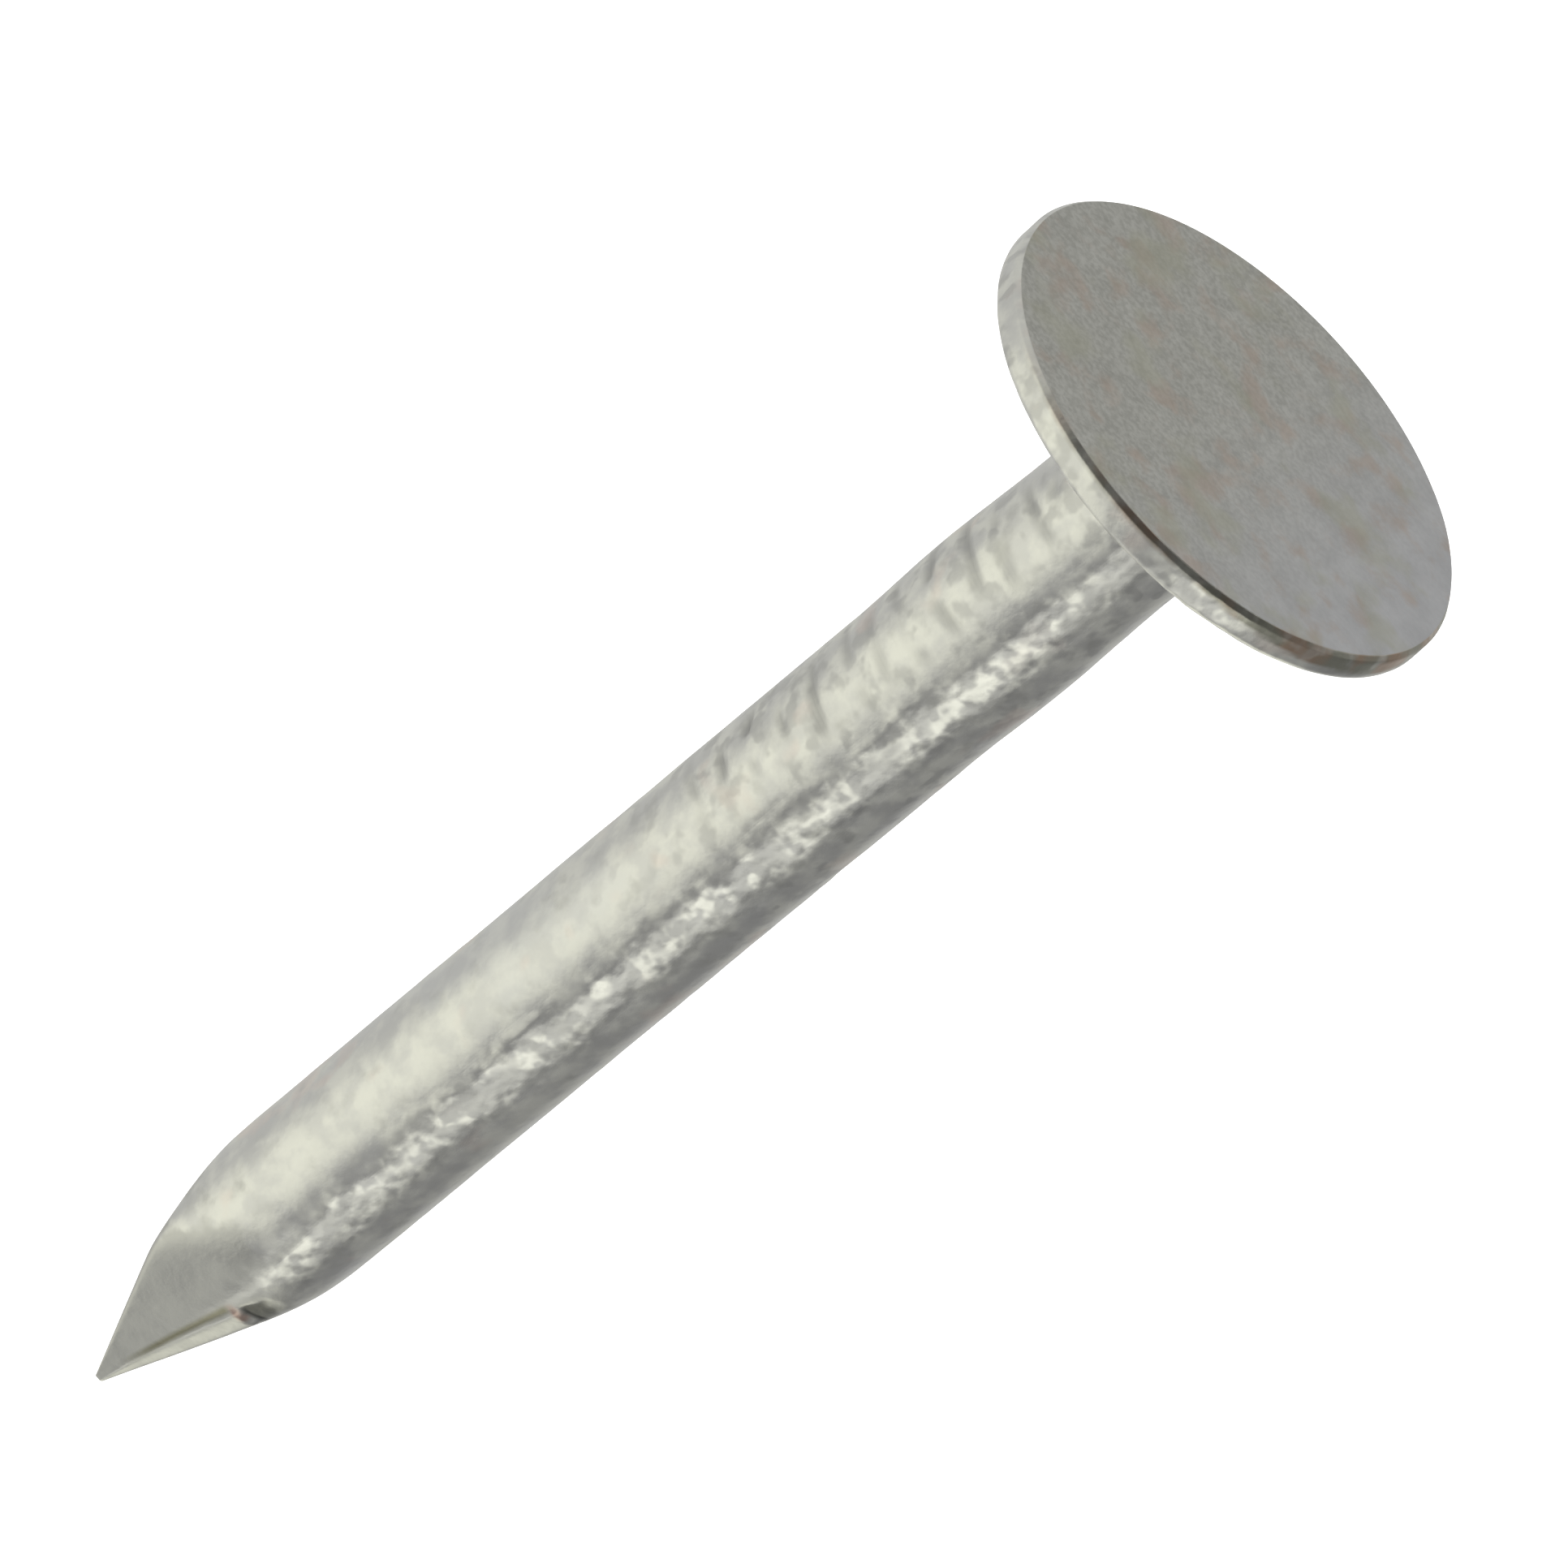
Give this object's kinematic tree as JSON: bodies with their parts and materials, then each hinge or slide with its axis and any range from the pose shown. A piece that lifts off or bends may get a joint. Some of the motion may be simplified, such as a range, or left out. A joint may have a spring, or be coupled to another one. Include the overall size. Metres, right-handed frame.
{
  "type": "clout nail",
  "caption": "Short galvanised steel nail with a large thin flat head, a plain round shank and a diamond point, for fixing thin sheet or felt to timber.",
  "frame": {"origin": "middle of the head's seat, where the shank's axis meets the underside of the head", "axes": "+Z along the shank and out through the head, so the point is towards -Z; the head is struck off centre towards +X"},
  "size_m": [0.0084, 0.0084, 0.0258],
  "materials": {
    "galvanised_steel": "dull hot-dip galvanised, slightly crusty on the shank"
  },
  "bodies": {
    "root": {"nail": "galvanised_steel"}
  },
  "joints": []
}
